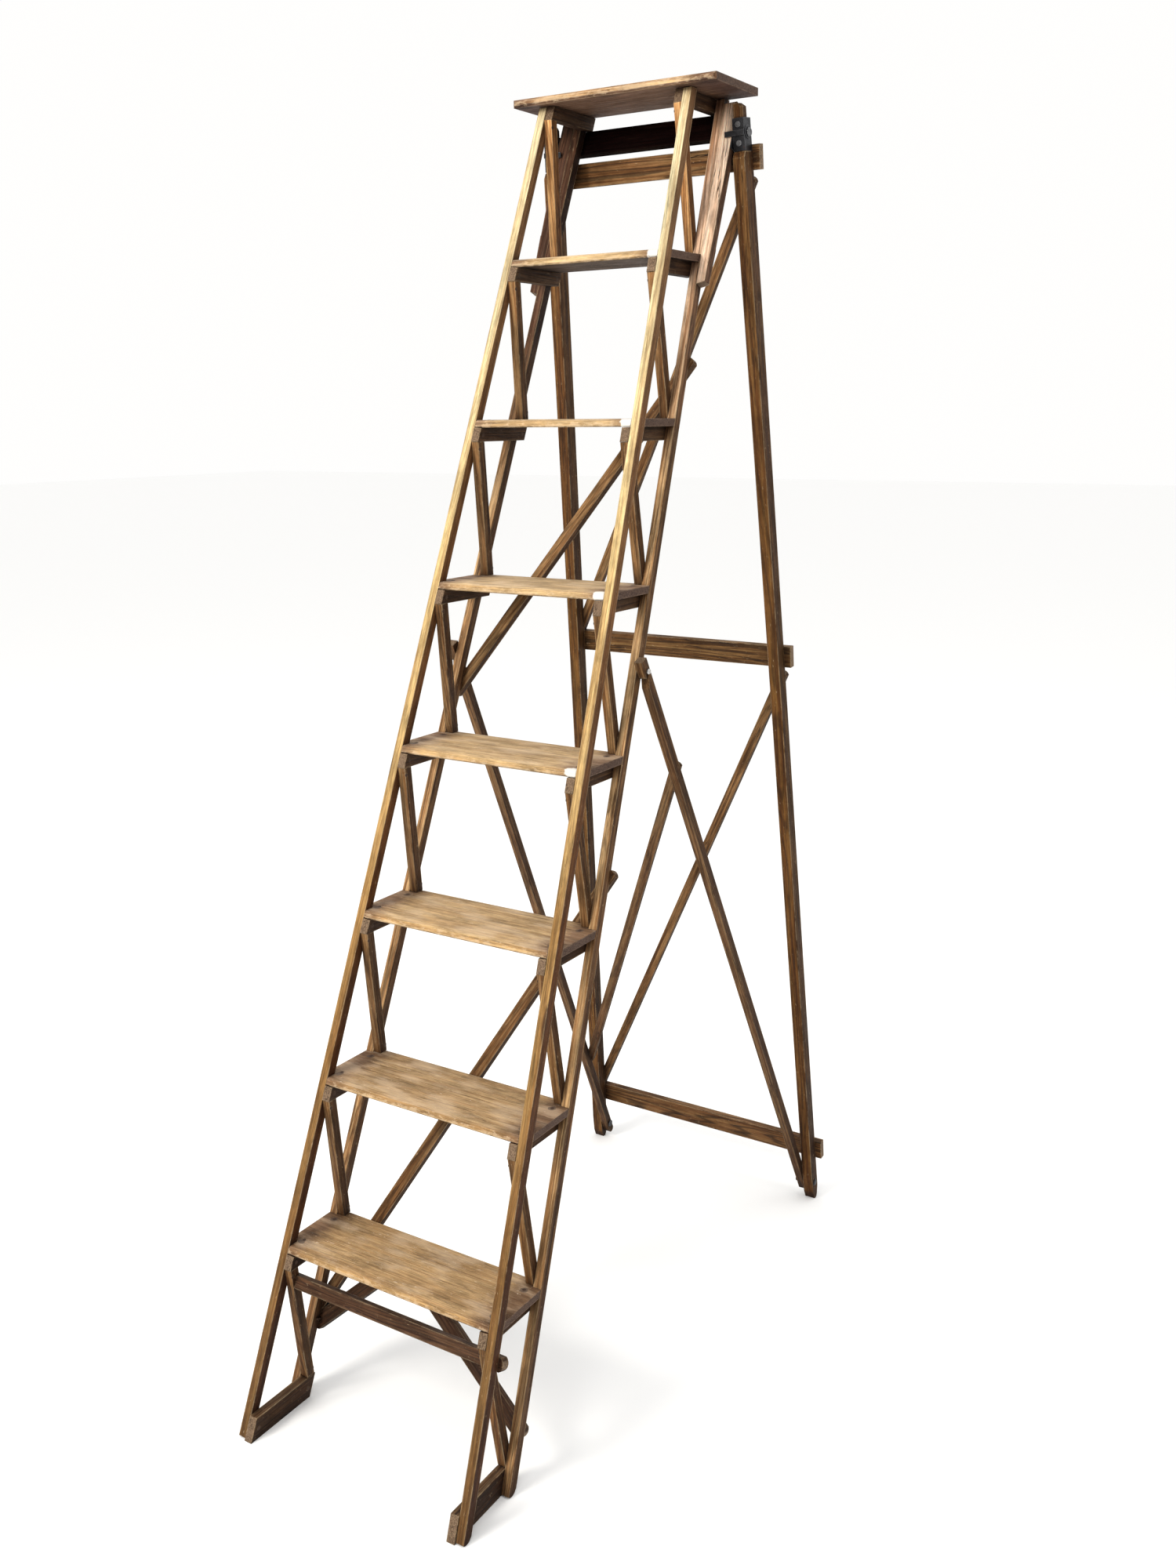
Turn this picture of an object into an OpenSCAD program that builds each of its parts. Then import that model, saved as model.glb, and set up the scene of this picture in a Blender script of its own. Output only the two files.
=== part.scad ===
// Folding lattice-sided step ladder: seven treads and a platform, a hinged prop and a hooked stay frame.
// Millimetres, +Z up, +Y towards the prop, +X to the right of a person who faces the treads.

/* [Ladder] */
// Outer width across the stiles at the floor
foot_w = 429; // [400:1:460]
// Half-width lost for each millimetre of height, as a percentage
taper_pct = 3.87; // [3:0.05:4.5]
// Lean of the stiles, in degrees from upright
lean = 21.2; // [19:0.1:23]
// Horizontal depth of a side, from front face to back face
side_d = 125; // [115:1:135]
// Height of the first tread's top
first_rise = 278; // [270:1:285]
// Height from one tread to the next
rise = 245; // [238:1:250]
// Height of the platform's top
platform_z = 1997; // [1990:1:2010]

/* [Timber] */
// Thickness of a stile, across the ladder
stile_t = 14; // [12:0.5:15]
// Depth of a stile, square to its length
stile_d = 16; // [15:0.5:18]
// Thickness of the bearers and lattice braces
lath_t = 14; // [12:0.5:15]
// Height of a bearer
bearer_h = 21; // [18:0.5:24]
// Width of a lattice brace
brace_w = 15; // [13:0.5:17]
// Thickness of a tread
tread_t = 11.5; // [10:0.5:13]
// Thickness of the boards lapped on the backs of the frames
back_t = 11; // [9:0.5:12]
// Height of a foot bar
foot_bar_h = 37; // [30:1:40]

/* [Prop frame] */
// Height of the hinge axis
hinge_z = 1930; // [1925:1:1935]
// Distance from the hinge axis to the prop's foot, measured along the floor
prop_reach = 237; // [230:1:245]
// Half the distance between the prop feet
prop_foot_x = 246; // [242:1:250]
// Width of a prop leg, across the frame
leg_w = 20; // [16:0.5:21]
// Depth of a prop leg at its top, front to back
leg_top_d = 30; // [27:0.5:32]
// Depth of a prop leg from its middle to its foot
leg_d = 23; // [21:0.5:25]
// Height of the rails across the prop
rail_h = 37; // [34:1:40]

/* [Stay frame] */
// Thickness of a stay strut
strut_t = 14; // [12:0.5:15]
// Depth of a stay strut, square to its length
strut_d = 15; // [14:0.5:16]
// Height of the catch pins on the rear stiles
catch_z = 1134; // [1128:1:1140]
// Height of the pivots at the prop's feet
pivot_z = 36; // [32:1:40]

/* [Ironwork] */
// Radius of the hinge pins
pin_r = 4.5; // [4:0.1:5]
// Thickness of the leg straps
strap_t = 3; // [2.5:0.1:3.5]
// Running clearance of the pins, on the radius
run_gap = 0.08; // [0.05:0.01:0.1]

/* [Hidden] */
$fn = 48;
tread_n = 7;
fit_gap = 0.3;
touch_gap = 0.05;
splay = atan(taper_pct / 100);
lean_t = tan(lean);
stile_run = stile_d / cos(lean);
side_lean = atan(lean_t * cos(splay));
plane_gap = 0.25;

// Nails and screws, how far the nails' heads stand out, and the play of both in their holes.
nail_r = 1.3;
nail_head_r = 2.8;
nail_head_t = 0.7;
nail_proud = 0.25;
screw_r = 1.8;
hole_gap = 0.03;

// Heights at which the long diagonals on the ladder's back end, on its left and on its right.
upper_tie_z = [1078, 1584];
lower_tie_z = [128, 838];

// The hinge axis lies in the middle of the rear stiles' depth.
hinge_y = hinge_z * lean_t + side_d - stile_run / 2;
cheek_w = 23;
cheek_foot_w = 14;
cheek_foot_z = 1704;
cheek_taper_z = 1880;
plate_t = 1.5;
leg_gap = 0.6;
leg_back = 12.5;
strap_d = 24;
hinge_x = half_w(hinge_z) + cheek_w + plate_t + leg_gap + leg_w / 2;
prop_lean = atan(prop_reach / hinge_z);
prop_len = hinge_z / cos(prop_lean);
prop_splay = atan((prop_foot_x - hinge_x) / prop_len);

// The stay hangs on the catch pins and turns on the pivots at the prop's feet.
catch_y = catch_z * lean_t + side_d - stile_run / 2;
pivot_s = (hinge_z - pivot_z) / cos(prop_lean);
pivot_y = hinge_y + pivot_s * sin(prop_lean);
stay_lean = atan((pivot_y - catch_y) / (catch_z - pivot_z));
stay_len = (catch_z - pivot_z) / cos(stay_lean);
strut_top_x = half_w(catch_z) + fit_gap * 2 + strut_t / 2;
strut_foot_x = prop_x(pivot_s) - leg_w / 2 - leg_gap - strut_t / 2;
strut_splay = atan((strut_foot_x - strut_top_x) / stay_len);
strut_head = 20;
strut_tail = 26;
bolt_r = 3.96;
tie_low = 205;
tie_high = 1030;
tie_t = 9;
tie_in = 4;
catch_r = 2.6;
hook_w = 2 * catch_r + 1.6;
hook_angle = 22.6;

// Boards across the backs of the prop's legs: rails at distance s below the hinge.
rail_s = [17, 822, 1822];
rail_over = 12;
rail_t = 12.5;
prop_back = leg_back + touch_gap;

// Everything is moved so that the origin is under the middle of the object.
rail_foot = rail_s[2] + rail_h;
foot_bar_over = 2;
back_reach = hinge_y + rail_foot * sin(prop_lean) + (prop_back + rail_t) * cos(prop_lean);
origin_y = (back_reach - foot_bar_over) / 2;

// Half of the outer width at height z, and the plane of the stiles' front faces there.
function half_w(z) = foot_w / 2 - z * taper_pct / 100;
function front_y(z) = z * lean_t;
function tread_z(i) = i > tread_n ? platform_z : first_rise + (i - 1) * rise;
function under_z(i) = tread_z(i) - tread_t;
function bay_floor(i) = i == 1 ? foot_bar_h : tread_z(i - 1);
// Centre of a prop leg at distance s below the hinge.
function prop_x(s) = hinge_x + s * tan(prop_splay);

// ---- Frames of reference ----

// The object's own frame.
module placed() {
    translate([0, -origin_y, 0]) children();
}

// Everything below the floor.
module ground() {
    translate([0, 0, -500]) cube([2000, 4000, 1000], center = true);
}

// Right side when s is 1, left side when s is -1.
module sided(s) {
    mirror([s < 0 ? 1 : 0, 0, 0]) children();
}

// A side's plane: x is 0 on the stiles' outer faces, y runs front to back, z up the slope of the side.
module side_plane() {
    translate([foot_w / 2, 0, 0]) rotate([0, -splay, 0]) children();
}

// Extrudes a y-z outline across a side, from x to x + t.
module across(x, t) {
    translate([x, 0, 0]) rotate([90, 0, 90]) linear_extrude(t) children();
}

// The plane on the backs of the stiles whose back faces are at y0 on the floor: x, depth, slope.
module back_plane(y0) {
    translate([0, y0 + plane_gap, 0]) rotate([-lean, 0, 0]) children();
}

// The prop's plane: origin on the hinge axis, z up the frame.
module prop_plane() {
    translate([0, hinge_y, hinge_z]) rotate([prop_lean, 0, 0]) children();
}

// The stay's plane: origin on the pivots, z up the frame.
module stay_plane() {
    translate([0, pivot_y, pivot_z]) rotate([stay_lean, 0, 0]) children();
}

// Extrudes an x-z outline from y to y + t.
module backing(y, t) {
    translate([0, y + t, 0]) rotate([90, 0, 0]) linear_extrude(t) children();
}

// Outline of a straight board from p to q, with rounded ends past both points.
module board(p, q, w) {
    run = norm(q - p);
    translate(p) rotate(atan2(q[1] - p[1], q[0] - p[0])) {
        translate([0, -w / 2]) square([run, w]);
        intersection() {
            union() {
                circle(w * 0.6);
                translate([run, 0]) circle(w * 0.6);
            }
            translate([-w, -w / 2]) square([run + 2 * w, w]);
        }
    }
}

// A nail along +z whose head's top is at z = 0. With a gap g, it is the nail's hole, open above the head.
module nail(len, g = 0) {
    above = g > 0 ? 1 : 0;
    translate([0, 0, -len - g]) cylinder(r = nail_r + g, h = len - nail_head_t / 2);
    translate([0, 0, -nail_head_t - g]) cylinder(r = nail_head_r + g, h = nail_head_t + g + above);
}

// A slotted screw along +z whose round head stands on z = 0. With a gap g, it is only the screw's hole.
module slotted_screw(len, g = 0) {
    head_r = 4.6;
    translate([0, 0, -len - g]) cylinder(r = screw_r + g, h = len + g + 0.2);
    if (g == 0) difference() {
        cylinder(r1 = head_r, r2 = head_r - 0.6, h = 1.8);
        translate([-head_r, -0.5, 0.8]) cube([2 * head_r, 1, 2]);
    }
}

// ---- Where the nails and screws go ----

// The nails of each side, as [depth, height] in the side's plane, in the middle of a stile's depth.
stile_mids = [stile_run / 2, side_d - stile_run / 2];
function side_spot(z, y) = [z * tan(side_lean) + y, z];
function bearer_spots(i) = [for (y = stile_mids) side_spot(under_z(i) / cos(splay) - bearer_h / 2, y)];
function lattice_spots(i) = [
    side_spot(under_z(i) / cos(splay) - bearer_h - 11, stile_mids[0]),
    side_spot(bay_floor(i) / cos(splay) + 12, stile_mids[1])
];
function foot_bar_spots() = [for (y = stile_mids) side_spot(foot_bar_h / 2, y)];
function side_spots() = concat(
    foot_bar_spots(),
    [for (i = [1 : tread_n + 1]) each concat(bearer_spots(i), lattice_spots(i))]
);

// Nails from the inner faces of a side's boards into its stiles, in the side's plane.
module side_nails_at(spots, g = 0) {
    for (p = spots) translate([-stile_t - lath_t - nail_proud, p[0], p[1]]) rotate([0, -90, 0]) nail(22, g);
}

// The four nails through tread i into its bearers. The platform's are punched below its face.
module tread_nails_at(i, g = 0) {
    z = tread_z(i);
    proud = i > tread_n ? -nail_proud : nail_proud;
    for (s = [-1, 1], y = [26, side_d - 30])
        translate([s * (half_w(z) - stile_t - lath_t / 2), front_y(z) + y, z + proud]) nail(26, g);
}

// Nails through the back boards into the rear stiles and the cheeks.
module back_nails_at(g = 0) {
    top = (hinge_z + 17) / cos(lean);
    spots = concat(
        [for (z = [upper_tie_z[0], lower_tie_z[0] + 10]) [-half_w(z) + 7, z / cos(lean)]],
        [for (z = [upper_tie_z[1], lower_tie_z[1]]) [half_w(z) - 7, z / cos(lean) - 3]],
        [for (s = [-1, 1]) knee_foot(s) + [-s * 2, 3]],
        [for (s = [-1, 1], x = [-7, 14]) [s * (half_w(hinge_z) + x), top]]
    );
    back_plane(side_d) for (p = spots)
        translate([p[0], back_t + nail_proud, p[1]]) rotate([-90, 0, 0]) nail(21, g);
}

// Nails through the prop's rails and diagonals into the legs, as [across, up, board's thickness].
module prop_nails_at(g = 0) {
    rails = [
        for (s = rail_s, side = [-1, 1], dz = [13, rail_h - 13])
            [side * (prop_x(s + dz) + 1), -s - dz, rail_t]
    ];
    ties = [
        for (i = [0, 1], side = [-1, 1])
            let (z = side > 0 ? -rail_s[i] - rail_h - 18 : -rail_s[i + 1] + 12)
                [side * (prop_x(-z) - 2), z, back_t]
    ];
    prop_plane() for (p = concat(rails, ties))
        translate([p[0], prop_back + p[2] + nail_proud, p[1]]) rotate([-90, 0, 0]) nail(24, g);
}

// Two screws through the front of the right-hand strap, and two at its back.
module strap_screws_at(g = 0) {
    leg_line() for (z = [12, -15])
        translate([0, -strap_d / 2, z]) rotate([90, z * 3, 0]) slotted_screw(9, g);
    leg_line() for (z = [12, -10])
        translate([0, strap_d / 2, z]) rotate([-90, -z * 2, 0]) slotted_screw(6, g);
}

// Nails through the stay's cross-brace into its struts.
module stay_nails_at(g = 0) {
    stay_plane() for (p = [[-1, tie_low], [1, tie_high]])
        translate([p[0] * strut_x(p[1]), strut_d / 2 + touch_gap + tie_t + nail_proud, p[1]])
            rotate([-90, 0, 0]) nail(20, g);
}

// ---- Ladder sides ----

// A stile's board in its side's plane, grown by g on each face. Its foot is worn round.
module stile_board(y0, g = 0) {
    top_z = under_z(tread_n + 1) / cos(splay) - touch_gap - 0.6;
    across(-stile_t - g, stile_t + 2 * g) intersection() {
        translate([y0, 0]) leaning_strip(stile_run + 2 * g / cos(side_lean), -g / cos(side_lean), top_z);
        union() {
            translate([y0 + stile_run / 2, stile_run * 0.62]) circle(stile_run * 0.62);
            translate([y0 - 60, stile_run * 0.3]) square([top_z, top_z]);
        }
    }
}

// Leaning outline with level ends, w wide along y and starting at y.
module leaning_strip(w, y, h) {
    run = h * tan(side_lean);
    polygon([[y, 0], [y + w, 0], [y + w + run, h], [y + run, h]]);
}

module stile(s, y0) {
    color("#b98d55") placed() difference() {
        sided(s) difference() {
            side_plane() stile_board(y0);
            side_plane() side_nails_at(side_spots(), hole_gap);
            at_catch_pin() catch_shank(hole_gap);
        }
        back_nails_at(hole_gap);
        ground();
    }
}

module front_stile_left() { stile(-1, 0); }
module front_stile_right() { stile(1, 0); }
module rear_stile_left() { stile(-1, side_d - stile_run); }
module rear_stile_right() { stile(1, side_d - stile_run); }

// Outline between two heights whose ends follow the lean and stand proud of the side by over.
module leaning_bar(z0, z1, over) {
    t = tan(side_lean);
    polygon([
        [z0 * t - over, z0], [z0 * t + side_d + over, z0],
        [z1 * t + side_d + over, z1], [z1 * t - over, z1]
    ]);
}

// The pair of bars that carries tread i.
module bearers(i) {
    top = under_z(i) / cos(splay) + stile_t * tan(splay) - touch_gap;
    over = i > tread_n ? -1 : 1;
    color("#6d4c2e") placed() difference() {
        for (s = [-1, 1]) sided(s) side_plane() difference() {
            across(-stile_t - lath_t, lath_t) leaning_bar(top - bearer_h, top, over);
            side_nails_at(bearer_spots(i), hole_gap);
        }
        tread_nails_at(i, hole_gap);
    }
}

// The brace of bay i, from the front under bearer i to the back on the level below, grown by g.
module brace_board(i, g = 0) {
    t = tan(side_lean);
    lift = (stile_t + lath_t) * tan(splay);
    top = under_z(i) / cos(splay) + stile_t * tan(splay) - bearer_h - 3 * touch_gap;
    low = bay_floor(i) / cos(splay) + lift + touch_gap;
    head_y = top * t + 0.5;
    foot_y = low * t + side_d - 0.5;
    w = brace_w / cos(atan((foot_y - head_y) / (top - low)));
    across(-stile_t - lath_t - g, lath_t + 2 * g) polygon([
        [head_y - g, top + g], [head_y + w + g, top + g], [foot_y + g, low - g], [foot_y - w - g, low - g]
    ]);
}

module lattice(i) {
    color("#7c5632") placed() for (s = [-1, 1]) sided(s) side_plane() difference() {
        brace_board(i);
        side_nails_at(lattice_spots(i), hole_gap);
    }
}

// The bar on the floor between the feet of a side's two stiles.
module foot_bar(s) {
    color("#80603c") placed() sided(s) side_plane() difference() {
        across(-stile_t - lath_t, lath_t)
            leaning_bar((stile_t + lath_t) * tan(splay), foot_bar_h, foot_bar_over);
        side_nails_at(foot_bar_spots(), hole_gap);
    }
}

module foot_bar_left() { foot_bar(-1); }
module foot_bar_right() { foot_bar(1); }

// ---- Treads ----

// Outline of a level board whose top is at z, d deep. Its edges are planed to the lean, its arrises eased.
module eased_board(z, d) {
    low = z - tread_t;
    e = 2;
    polygon([
        [front_y(low) + e, low], [front_y(low) + d - e, low], [front_y(low + e) + d, low + e],
        [front_y(z - e) + d, z - e], [front_y(z) + d - e, z], [front_y(z) + e, z],
        [front_y(z - e), z - e], [front_y(low + e), low + e]
    ]);
}

// A tread, with its corners cut round the four stiles.
module tread(i) {
    z = tread_z(i);
    w = 2 * half_w(z);
    color("#a08157") placed() difference() {
        translate([-w / 2, 0, 0]) across(0, w) eased_board(z, side_d);
        for (s = [-1, 1], y0 = [0, side_d - stile_run]) sided(s) side_plane() stile_board(y0, fit_gap);
        tread_nails_at(i, hole_gap);
    }
}

// The top board, wider than the stiles and standing forward of them.
module platform() {
    w = 364;
    shift = 6;
    front = front_y(platform_z) - 26;
    back = front_y(platform_z) + side_d - 3;
    depth = back - front;
    corner = 6;
    nose = 3.5;
    low = under_z(tread_n + 1);
    color("#9a774b") placed() difference() {
        intersection() {
            translate([shift - w / 2, front, low]) linear_extrude(tread_t) difference() {
                square([w, depth]);
                for (x = [0, w], y = [0, depth]) translate([x, y]) rotate(45) square(corner, center = true);
            }
            translate([0, front, low]) across(shift - w / 2, w) chamfered(depth, tread_t, nose);
        }
        tread_nails_at(tread_n + 1, hole_gap);
    }
}

// ---- Boards between the sides ----

// The rail behind the front stiles, notched over the lowest braces.
module front_cross_rail() {
    z = 223;
    h = 20;
    t = 14;
    reach = half_w(z) - 4;
    color("#6a4b2b") placed() difference() {
        back_plane(stile_run) backing(0, t) board([-reach, z / cos(lean)], [reach, z / cos(lean)], h);
        for (s = [-1, 1]) sided(s) side_plane() brace_board(1, fit_gap);
    }
}

// Knee braces under the first tread; the left one butts on the right one.
knee_w = 24;
knee_tops = [[-40, 254], [-76, 252]];
knee_foot_z = [112, 80];

function knee_foot(s) = let (z = knee_foot_z[s < 0 ? 0 : 1]) [s * (half_w(z) - 15), z / cos(lean)];
function slope_point(p) = [p[0], p[1] / cos(lean)];

module knee_outline(s) {
    intersection() {
        board(knee_foot(s), slope_point(knee_tops[s < 0 ? 0 : 1]), knee_w);
        translate([-foot_w, 0]) square([2 * foot_w, (under_z(1) - 5) / cos(lean)]);
    }
}

// Extrudes a board's outline on the backs of the rear stiles, with its nail holes.
module back_board() {
    placed() difference() {
        back_plane(side_d) backing(0, back_t) children();
        back_nails_at(hole_gap);
    }
}

module knee_brace_right() {
    color("#4e3620") back_board() knee_outline(1);
}

module knee_brace_left() {
    color("#4e3620") back_board() difference() {
        knee_outline(-1);
        butting_board(knee_foot(1), slope_point(knee_tops[1]), knee_w + 2 * fit_gap);
    }
}

// A board's outline run on past its upper end, for cutting its neighbour to butt against it.
module butting_board(p, q, w) {
    dir = (q - p) / norm(q - p);
    board(p, q + dir * 60, w);
}

// The long diagonals on the backs of the rear stiles, both rising to the right.
module back_diagonal(ends) {
    w = 18;
    board([-half_w(ends[0]) + 6, ends[0] / cos(lean)], [half_w(ends[1]) - 3, ends[1] / cos(lean)], w);
}

module back_diagonal_upper() {
    color("#6e4f2d") back_board() back_diagonal(upper_tie_z);
}

module back_diagonal_lower() {
    color("#6e4f2d") back_board() difference() {
        back_diagonal(lower_tie_z);
        butting_board(knee_foot(-1), slope_point(knee_tops[0]), knee_w + 2 * fit_gap);
    }
}

// The wide rail behind the top of the rear stiles and cheeks.
module top_back_rail() {
    low = 6;
    high = 34;
    hinge_l = hinge_z / cos(lean) + stile_d / 2 * lean_t;
    reach = half_w(hinge_z) + cheek_w - 1;
    color("#2f2018") back_board() translate([-reach, hinge_l - low]) square([2 * reach, low + high]);
}

// ---- Cheeks and hinge plates ----

// Slope distance, in a side's plane, of height z on the middle of the rear stile.
function cheek_l(z) = z / cos(splay) / cos(side_lean);

// A rear stile's own frame in its side's plane: x outwards, y front to back, z along the stile.
module rear_stile_line() {
    side_plane() translate([0, side_d - stile_run, 0]) rotate([-side_lean, 0, 0]) children();
}

// The wedge-shaped block on a rear stile's outer face that spaces the prop leg out.
module cheek(s) {
    top = cheek_l(under_z(tread_n + 1)) - 9;
    color("#8f6a42") placed() difference() {
        sided(s) difference() {
            rear_stile_line() backing(0, stile_d) polygon([
                [touch_gap, cheek_l(cheek_foot_z)], [cheek_foot_w, cheek_l(cheek_foot_z) + 3],
                [cheek_w, cheek_l(cheek_taper_z)], [cheek_w, top], [touch_gap, top]
            ]);
            hinge_bore(pin_r + run_gap);
            fit_plate();
        }
        back_nails_at(hole_gap);
    }
}

module cheek_left() { cheek(-1); }
module cheek_right() { cheek(1); }

// A cylinder along X on the hinge axis, right-hand side.
module hinge_bore(r) {
    translate([half_w(hinge_z) - 20, hinge_y, hinge_z]) rotate([0, 90, 0]) cylinder(r = r, h = 120);
}

plate_l = 52;
plate_w = 16;

// The plate's blank, let in square to the hinge axis so that the cheek never meets the leg.
module plate_blank(t) {
    x = hinge_x - leg_w / 2 - leg_gap - plate_t;
    translate([x, hinge_y, hinge_z]) rotate([-lean, 0, 0])
        translate([0, -plate_w / 2, -plate_l / 2]) cube([t, plate_w, plate_l]);
}

module fit_plate() {
    x = hinge_x - leg_w / 2 - leg_gap - plate_t;
    translate([x - touch_gap, hinge_y - 60, hinge_z - 200]) cube([20, 160, 400]);
}

// The iron plates that the prop's hinge pins run in.
module cheek_plates() {
    color("#1c1b1a") placed() for (s = [-1, 1]) sided(s) difference() {
        plate_blank(plate_t);
        hinge_bore(pin_r + run_gap);
    }
}

// On the outer face of the right rear stile at the catch, with +z pointing outwards.
module at_catch_pin() {
    translate([half_w(catch_z), catch_y, catch_z]) rotate([0, 90, 0]) children();
}

// The part of a catch pin that is driven into the stile.
module catch_shank(g = 0) {
    translate([0, 0, -stile_t + 2]) cylinder(r = catch_r - 0.5 + g, h = stile_t);
}

// The headed pins that the stay hooks over.
module catch_pins() {
    shoulder = 0.2;
    span = strut_t + 2 * fit_gap + 2.4;
    color("#b9b6ae") placed() for (s = [-1, 1]) sided(s) at_catch_pin() {
        catch_shank();
        translate([0, 0, shoulder]) cylinder(r = catch_r, h = span - shoulder);
        translate([0, 0, span]) cylinder(r1 = 4.4, r2 = 3.2, h = 1.8);
    }
}

// ---- Nails of the ladder ----

module tread_nails() {
    color("#2a2622") placed() for (i = [1 : tread_n + 1]) tread_nails_at(i);
}

module side_nails() {
    color("#2a2622") placed() for (s = [-1, 1]) sided(s) side_plane() side_nails_at(side_spots());
}

module back_nails() {
    color("#2a2622") placed() back_nails_at();
}

// ---- Prop frame ----

// A leg in its own frame: x across, y front to back, z up, origin on the hinge axis. Its back is straight.
module leg_blank() {
    foot = -prop_len / cos(prop_splay);
    shoulder = -27;
    knob = 42;
    front = leg_back - leg_top_d;
    mid_front = leg_back - leg_d;
    translate([-leg_w / 2, 0, 0]) across(0, leg_w) polygon([
        [front, shoulder - 9], [-strap_d / 2, shoulder], [strap_d / 2, shoulder], [leg_back, shoulder - 4],
        [leg_back, foot + 24], [leg_back - 5, foot + 5], [leg_back - 9, foot],
        [mid_front + 7, foot], [mid_front + 2, foot + 16], [mid_front, foot + 50],
        [mid_front, -prop_len / 2], [mid_front - 3, -prop_len / 5]
    ]);
    translate([-leg_w / 2, -strap_d / 2 + strap_t, shoulder - 0.01]) {
        linear_extrude(knob - 5 - shoulder) chamfered(leg_w - strap_t, strap_d - 2 * strap_t, 3);
        translate([0, 0, knob - 5 - shoulder]) linear_extrude(5, scale = 0.7)
            chamfered(leg_w - strap_t, strap_d - 2 * strap_t, 3);
    }
}

// In a leg's own frame: all that lies less than a fit's gap outside the face of the cheek plate.
module cheek_clearance() {
    depth = 20;
    face = -leg_w / 2 - leg_gap + fit_gap;
    rotate([0, prop_splay, 0])
        translate([face - depth, -strap_d, -strap_d]) cube([depth, 2 * strap_d, 4 * strap_d]);
}

// A rectangle with its corner at the origin and its corners cut off.
module chamfered(w, d, c) {
    polygon([[c, 0], [w - c, 0], [w, c], [w, d - c], [w - c, d], [c, d], [0, d - c], [0, c]]);
}

module leg_line() {
    prop_plane() translate([hinge_x, 0, 0]) rotate([0, -prop_splay, 0]) children();
}

module prop_leg(s) {
    color("#8d6840") placed() difference() {
        sided(s) difference() {
            leg_line() leg_blank();
            leg_line() cheek_clearance();
            hinge_bore(pin_r + hole_gap);
            pivot_bore(bolt_r + hole_gap);
            strap_screws_at(hole_gap);
        }
        prop_nails_at(hole_gap);
        ground();
    }
}

module prop_leg_left() { prop_leg(-1); }
module prop_leg_right() { prop_leg(1); }

// A cylinder along X on the stay's pivot axis, right-hand side.
module pivot_bore(r) {
    translate([strut_foot_x - 40, pivot_y, pivot_z]) rotate([0, 90, 0]) cylinder(r = r, h = 90);
}

module prop_rail(i) {
    s = rail_s[i];
    x = prop_x(s + rail_h / 2) + leg_w / 2 + rail_over;
    color("#93713f") placed() difference() {
        prop_plane() translate([-x, prop_back, -s - rail_h]) cube([2 * x, rail_t, rail_h]);
        prop_nails_at(hole_gap);
    }
}

module prop_rail_top() { prop_rail(0); }
module prop_rail_middle() { prop_rail(1); }
module prop_rail_bottom() { prop_rail(2); }

// A diagonal from just below rail i on the right to just above rail i + 1 on the left.
module prop_diagonal(i) {
    w = 16;
    high = -rail_s[i] - rail_h - 12;
    low = -rail_s[i + 1] + 12;
    p = [-prop_x(-low), low - 8];
    q = [prop_x(-high) + 2, high - 6];
    bay = rail_s[i + 1] - rail_s[i] - rail_h;
    color("#6b4b2a") placed() difference() {
        prop_plane() backing(prop_back, back_t) intersection() {
            board(p, q, w);
            translate([-foot_w, -rail_s[i + 1] + fit_gap]) square([2 * foot_w, bay - 2 * fit_gap]);
        }
        prop_nails_at(hole_gap);
    }
}

module prop_diagonal_upper() { prop_diagonal(0); }
module prop_diagonal_lower() { prop_diagonal(1); }

// ---- Ironwork of the prop ----

strap_low = -26;
strap_high = 21;
lug_h = 8;

// The iron band round a leg's top, with a lug that bears on the cheek when the prop is fully open.
module leg_strap() {
    half = strap_d / 2;
    inside_w = 1.5 * leg_w - strap_t;
    lug_y = -half - 2.6;
    lug_reach = 13;
    lug_x = -leg_w / 2 - lug_reach;
    difference() {
        translate([-leg_w / 2, -half, strap_low]) cube([leg_w, strap_d, strap_high - strap_low]);
        translate([-leg_w, -half + strap_t, strap_low - 1])
            cube([inside_w, strap_d - 2 * strap_t, strap_high - strap_low + 2]);
        translate([-leg_w, -half - 1, -lug_h / 2 - 0.6]) cube([inside_w, strap_t + 1.2, lug_h + 1.2]);
        cheek_clearance();
    }
    difference() {
        translate([lug_x, lug_y, -lug_h / 2]) cube([leg_w + lug_reach, strap_t, lug_h]);
        translate([lug_x - 1, -half - fit_gap, -lug_h]) cube([lug_reach, strap_t, 2 * lug_h]);
    }
    translate([leg_w / 2 - 0.01, 0, 0]) rotate([0, 90, 0]) cylinder(r = 10, h = 1.6);
}

module leg_straps() {
    color("#1c1b1a") placed() for (s = [-1, 1]) sided(s) difference() {
        leg_line() leg_strap();
        hinge_bore(pin_r + hole_gap);
        strap_screws_at(hole_gap);
    }
}

module strap_screws() {
    color("#2b2a28") placed() for (s = [-1, 1]) sided(s) strap_screws_at();
}

// The pins that the prop swings on, headed outside the straps.
module hinge_pins() {
    x0 = half_w(hinge_z) + 6;
    x1 = hinge_x + leg_w / 2 + 2.6;
    color("#2b2a28") placed() for (s = [-1, 1]) sided(s)
        translate([x0, hinge_y, hinge_z]) rotate([0, 90, 0]) {
            cylinder(r = pin_r, h = x1 - x0);
            translate([0, 0, x1 - x0]) cylinder(r1 = 7, r2 = 5.5, h = 2);
        }
}

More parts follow.
